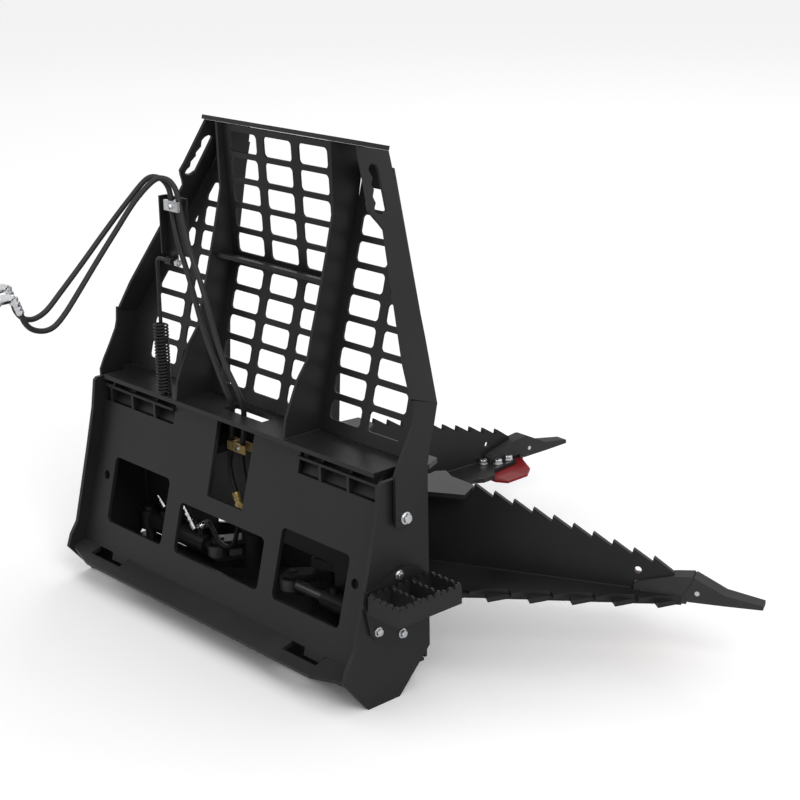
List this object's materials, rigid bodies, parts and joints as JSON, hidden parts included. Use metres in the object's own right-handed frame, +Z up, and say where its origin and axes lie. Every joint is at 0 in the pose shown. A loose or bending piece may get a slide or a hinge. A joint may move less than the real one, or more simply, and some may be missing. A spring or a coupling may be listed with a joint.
{
  "type": "tree puller",
  "caption": "Skid-steer tree puller with two hinged saw-toothed jaws, red cutting blades, a quick-attach frame, laser-cut mesh guard, side step and hydraulic hoses.",
  "frame": {"origin": "in the middle plane between the jaws, at the level of the side plates' feet, straight below the bottom edge of the attachment face", "axes": "+X to the right as the loader's driver sees it, +Y forward along the jaws, +Z up"},
  "size_m": [1.7311, 1.7958, 1.269],
  "materials": {
    "black_steel": "satin black powder coat",
    "blade": "satin red paint",
    "zinc": "bright zinc plate",
    "chrome_rod": "polished hard chrome",
    "chrome": "bright plated steel",
    "hose": "matt black rubber cover",
    "gold": "yellow zinc plate"
  },
  "bodies": {
    "frame": {"face_plate": "black_steel", "side_plates": "black_steel", "shelf": "black_steel", "hooks": "black_steel", "lower_flange": "black_steel", "base_plate": "black_steel", "pivot_plate_lower": "black_steel", "pivot_plate_upper": "black_steel", "front_wall": "black_steel", "jaw_pins": "zinc", "jaw_pin_caps": "black_steel", "mesh_centre": "black_steel", "mesh_left": "black_steel", "mesh_right": "black_steel", "gussets": "black_steel", "guard_plate_left": "black_steel", "guard_plate_right": "black_steel", "guard_stiffener": "black_steel", "guard_cap": "black_steel", "guard_bolts": "zinc", "step_bracket": "black_steel", "step_tread": "black_steel", "step_bolts": "zinc", "spring": "black_steel", "spring_rod": "black_steel", "hose_post": "black_steel", "hose_clamp": "zinc", "guide_fasteners": "zinc", "gold_clamp": "gold", "gold_fittings": "gold", "hose_a": "hose", "hose_b": "hose", "hose_ferrules": "chrome", "coupler_bodies": "chrome", "coupler_sleeve": "chrome", "barrel_right": "black_steel", "barrel_left": "black_steel", "barrel_pins": "zinc"},
    "right_jaw": {"jaw_right": "black_steel", "saw_right": "black_steel", "floor_right": "black_steel", "root_right": "black_steel", "blade_right": "blade", "blade_bolts_right": "zinc", "adapter_right": "black_steel", "tooth_right": "black_steel", "tooth_pin_right": "zinc", "rod_pin_right": "zinc"},
    "left_jaw": {"jaw_left": "black_steel", "saw_left": "black_steel", "floor_left": "black_steel", "root_left": "black_steel", "blade_left": "blade", "blade_bolts_left": "zinc", "adapter_left": "black_steel", "tooth_left": "black_steel", "tooth_pin_left": "zinc", "rod_pin_left": "zinc"},
    "right_rod": {"rod_right": "chrome_rod"},
    "left_rod": {"rod_left": "chrome_rod"}
  },
  "joints": [
    {"name": "right_jaw", "type": "hinge", "parent": "frame", "child": "right_jaw", "pos_m": [0.155, 0.268, 0.25], "axis": [0, 0, 1], "range_deg": [0, 49]},
    {"name": "left_jaw", "type": "hinge", "parent": "frame", "child": "left_jaw", "pos_m": [-0.155, 0.268, 0.25], "axis": [0, 0, 1], "range_deg": [0, 66.8]},
    {"name": "right_rod", "type": "slide", "parent": "frame", "child": "right_rod", "axis": [1, 0, 0], "range_m": [0, 0.076]},
    {"name": "left_rod", "type": "slide", "parent": "frame", "child": "left_rod", "axis": [1, 0, 0], "range_m": [0, 0.1]}
  ],
  "couplings": [
    {"joint": "right_rod", "follows": "right_jaw", "m_per_rad": 0.0862},
    {"joint": "left_rod", "follows": "left_jaw", "m_per_rad": 0.0849}
  ]
}
